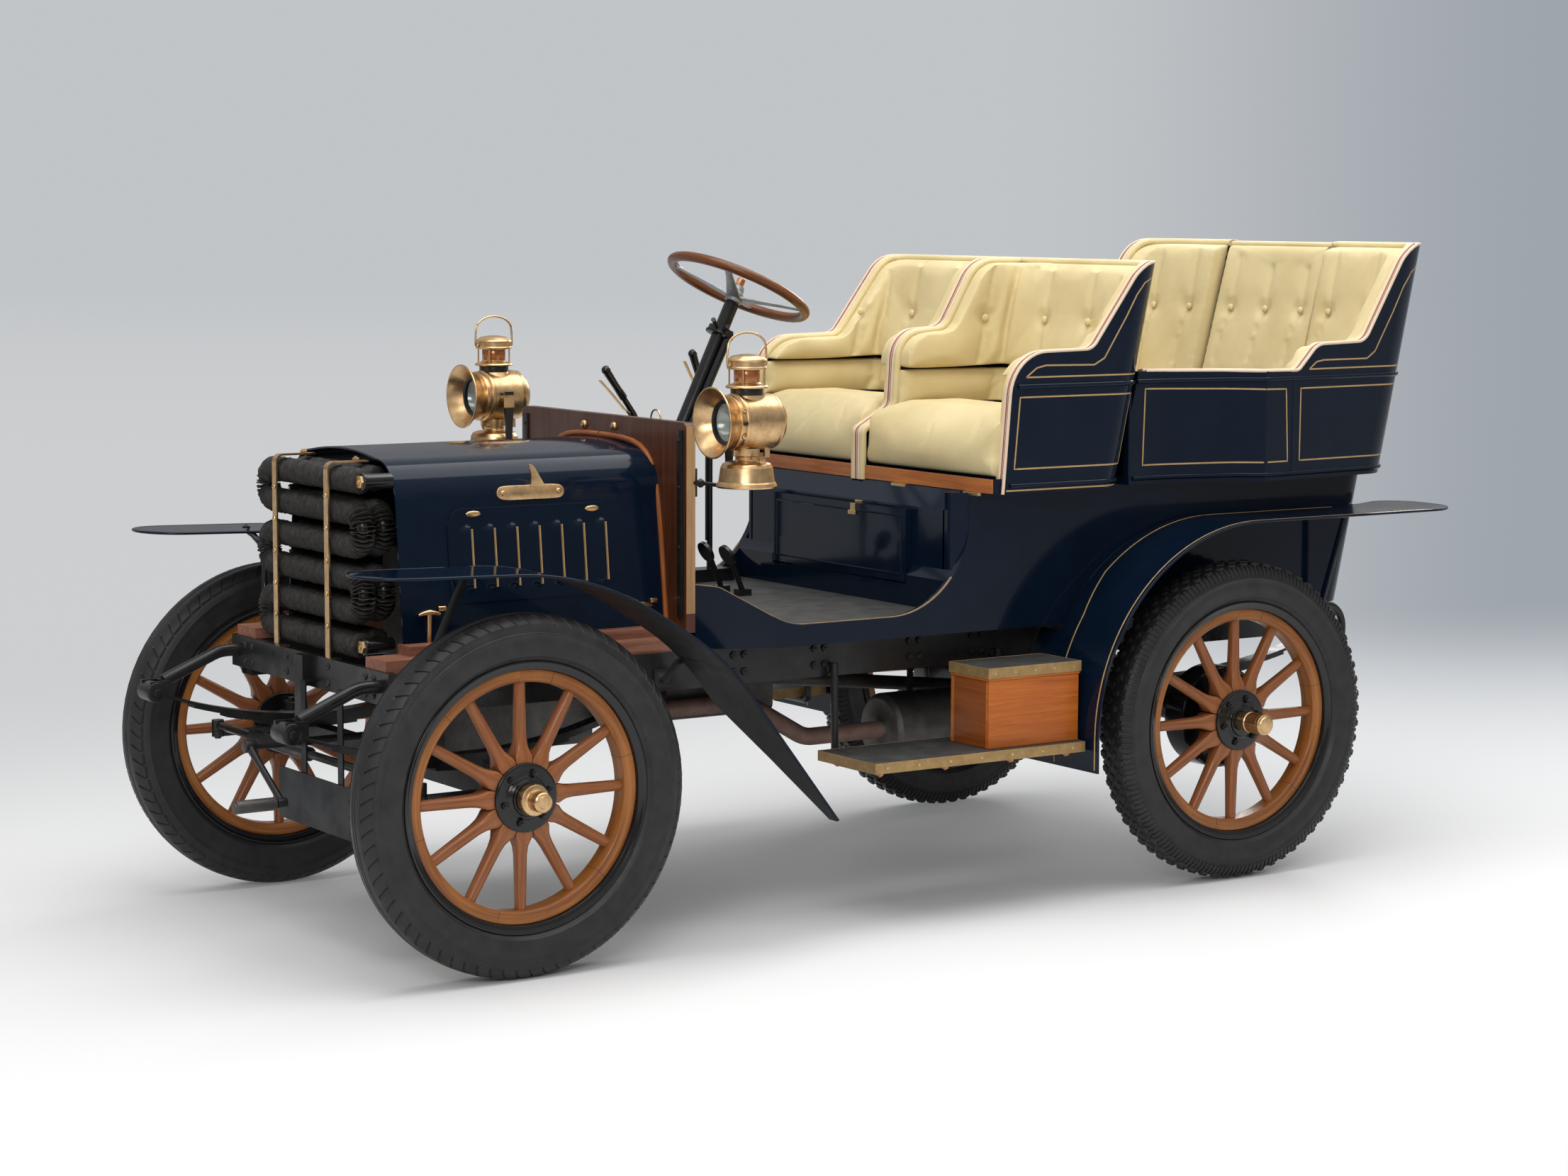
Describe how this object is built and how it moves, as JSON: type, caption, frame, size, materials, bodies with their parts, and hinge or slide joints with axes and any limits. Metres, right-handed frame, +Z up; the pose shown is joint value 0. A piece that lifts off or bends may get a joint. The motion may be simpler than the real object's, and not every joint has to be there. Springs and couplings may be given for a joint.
{
  "type": "brass era motor car",
  "caption": "Brass era touring car with rear tonneau, gilled-tube radiator, wooden artillery wheels, opening rear door, locker door and tool box.",
  "frame": {"origin": "on the ground, below the middle of the car's bounding box", "axes": "+X to the rear, +Y to the car's right, +Z up"},
  "size_m": [3.2655, 1.502, 1.5977],
  "materials": {
    "navy_paint": "gloss coach enamel",
    "black_iron": "satin black enamel over forged iron",
    "wheel_wood": "varnished ash and hickory",
    "hub_enamel": "gloss black with brass caps",
    "tyre_rubber": "black rubber",
    "brass": "aged polished brass",
    "gilled_tube": "matt black gills",
    "mahogany": "varnished mahogany",
    "sill_wood": "oiled hardwood",
    "floor_covering": "worn dark grey linoleum",
    "upholstery": "pale cream hide, buttoned",
    "steel_grey": "dull grey metal",
    "box_wood": "orange varnished wood, brass bound",
    "rim_wood": "varnished walnut rim on an aluminium spider",
    "plate_black": "satin black, blank"
  },
  "bodies": {
    "car": {"leaf_springs": "black_iron", "chassis_frame": "black_iron", "front_axle": "black_iron", "rear_axle": "black_iron", "engine_block": "steel_grey", "transmission": "steel_grey", "exhaust": "steel_grey", "starting_handle": "black_iron", "number_plate": "plate_black", "radiator": "gilled_tube", "radiator_straps": "brass", "bonnet": "navy_paint", "bonnet_sills": "sill_wood", "dashboard": "mahogany", "body_shell": "navy_paint", "floor_boards": "floor_covering", "front_seat_shell": "navy_paint", "front_seat_cushions": "upholstery", "front_seat_backs": "upholstery", "tonneau_shell": "navy_paint", "rear_seat_cushions": "upholstery", "rear_seat_backs": "upholstery", "front_fender_left": "navy_paint", "rear_fender_left": "navy_paint", "front_fender_right": "navy_paint", "rear_fender_right": "navy_paint", "running_boards": "floor_covering", "step_box": "box_wood", "side_lamps": "brass", "steering_column": "black_iron", "driver_controls": "black_iron"},
    "left_knuckle": {"steering_knuckle_left": "black_iron"},
    "right_knuckle": {"steering_knuckle_right": "black_iron"},
    "cross_rod": {"tie_rod": "black_iron"},
    "hand_wheel": {"steering_wheel": "rim_wood"},
    "locker": {"locker_door": "navy_paint"},
    "box_lid": {"step_box_lid": "box_wood"},
    "rear_door": {"tonneau_door": "navy_paint", "tonneau_door_pad": "upholstery"},
    "wheel_front_left": {"wheel_front_left": "wheel_wood", "hub_front_left": "hub_enamel", "tyre_front_left": "tyre_rubber"},
    "wheel_front_right": {"wheel_front_right": "wheel_wood", "hub_front_right": "hub_enamel", "tyre_front_right": "tyre_rubber"},
    "wheel_rear_left": {"wheel_rear_left": "wheel_wood", "hub_rear_left": "hub_enamel", "tyre_rear_left": "tyre_rubber"},
    "wheel_rear_right": {"wheel_rear_right": "wheel_wood", "hub_rear_right": "hub_enamel", "tyre_rear_right": "tyre_rubber"}
  },
  "joints": [
    {"name": "steer_left", "type": "hinge", "parent": "car", "child": "left_knuckle", "pos_m": [-1.1548, -0.535, 0.405], "axis": [0, 0, 1], "range_deg": [-25, 25]},
    {"name": "steer_right", "type": "hinge", "parent": "car", "child": "right_knuckle", "pos_m": [-1.1548, 0.535, 0.405], "axis": [0, 0, 1], "range_deg": [-25, 25]},
    {"name": "tie_rod_pivot", "type": "hinge", "parent": "left_knuckle", "child": "cross_rod", "pos_m": [-1.3548, -0.535, 0.425], "axis": [0, 0, 1], "range_deg": [-26, 26]},
    {"name": "steering_wheel_turn", "type": "hinge", "parent": "car", "child": "hand_wheel", "pos_m": [0.0092, 0.3, 1.484], "axis": [0.4384, 0, 0.8988], "range_deg": [-156, 156]},
    {"name": "spin_front_left", "type": "hinge", "parent": "left_knuckle", "child": "wheel_front_left", "pos_m": [-1.1548, -0.621, 0.405], "axis": [0, 1, 0], "continuous": true},
    {"name": "spin_front_right", "type": "hinge", "parent": "right_knuckle", "child": "wheel_front_right", "pos_m": [-1.1548, 0.621, 0.405], "axis": [0, 1, 0], "continuous": true},
    {"name": "spin_rear_left", "type": "hinge", "parent": "car", "child": "wheel_rear_left", "pos_m": [0.9082, -0.621, 0.405], "axis": [0, 1, 0], "continuous": true},
    {"name": "spin_rear_right", "type": "hinge", "parent": "car", "child": "wheel_rear_right", "pos_m": [0.9082, 0.621, 0.405], "axis": [0, 1, 0], "continuous": true},
    {"name": "locker_door_hinge", "type": "hinge", "parent": "car", "child": "locker", "pos_m": [0.1152, 0, 0.769], "axis": [0, -1, 0], "range_deg": [0, 90]},
    {"name": "step_box_lid_hinge", "type": "hinge", "parent": "car", "child": "box_lid", "pos_m": [0.2452, -0.496, 0.596], "axis": [-1, 0, 0], "range_deg": [0, 90]},
    {"name": "rear_door_hinge", "type": "hinge", "parent": "car", "child": "rear_door", "pos_m": [1.43538, -0.209, 0.736], "axis": [-0.2232, 0, -0.9748], "range_deg": [0, 100]}
  ],
  "couplings": [
    {"joint": "steer_right", "follows": "steer_left", "ratio": 1},
    {"joint": "tie_rod_pivot", "follows": "steer_left", "ratio": -1},
    {"joint": "steering_wheel_turn", "follows": "steer_left", "ratio": 6}
  ]
}
